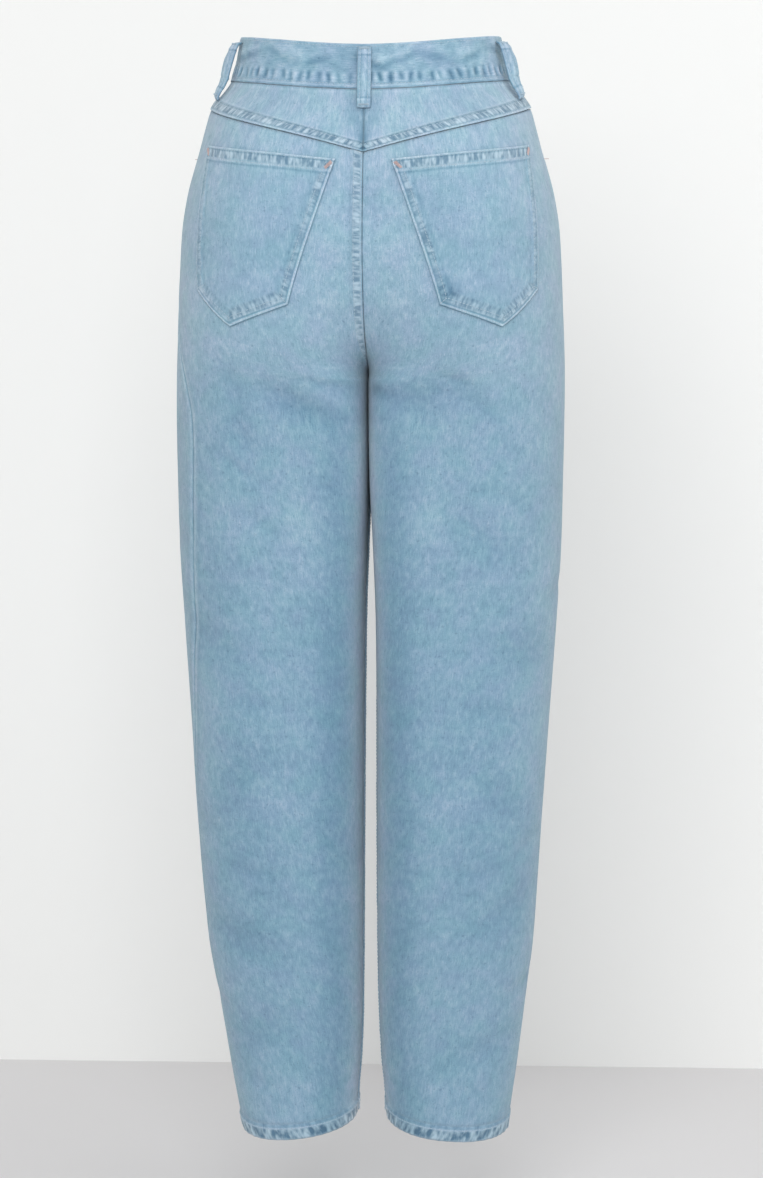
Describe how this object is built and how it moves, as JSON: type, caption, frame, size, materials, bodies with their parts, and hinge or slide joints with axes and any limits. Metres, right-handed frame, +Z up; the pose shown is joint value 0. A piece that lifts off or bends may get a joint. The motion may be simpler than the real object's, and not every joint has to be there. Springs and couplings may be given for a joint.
{
  "type": "jeans",
  "caption": "High-rise light-wash denim jeans with balloon legs, a V yoke and patch back pockets, standing open in their worn form.",
  "frame": {"origin": "centre of the waistband at half its height, where the wearer's waist holds the jeans up", "axes": "+Z up along the legs towards the waist, -Y to the front of the jeans, +X to the wearer's left"},
  "size_m": [0.3518, 0.2406, 0.9955],
  "materials": {
    "washed_denim": "matt cotton twill, stone washed",
    "washed_denim_pale": "matt cotton twill, stone washed, paler",
    "aged_brass": "aged, satin"
  },
  "bodies": {
    "root": {"back_panel_left": "washed_denim", "back_panel_right": "washed_denim", "back_pocket_left": "washed_denim_pale", "back_pocket_right": "washed_denim_pale", "belt_loop_back": "washed_denim_pale", "belt_loop_front_left": "washed_denim_pale", "belt_loop_front_right": "washed_denim_pale", "belt_loop_side_left": "washed_denim_pale", "belt_loop_side_right": "washed_denim_pale", "front_panel_left": "washed_denim", "front_panel_right": "washed_denim", "pocket_facing_left": "washed_denim_pale", "pocket_facing_right": "washed_denim_pale", "waist_button": "aged_brass", "waistband": "washed_denim_pale", "yoke_left": "washed_denim_pale", "yoke_right": "washed_denim_pale"}
  },
  "joints": []
}
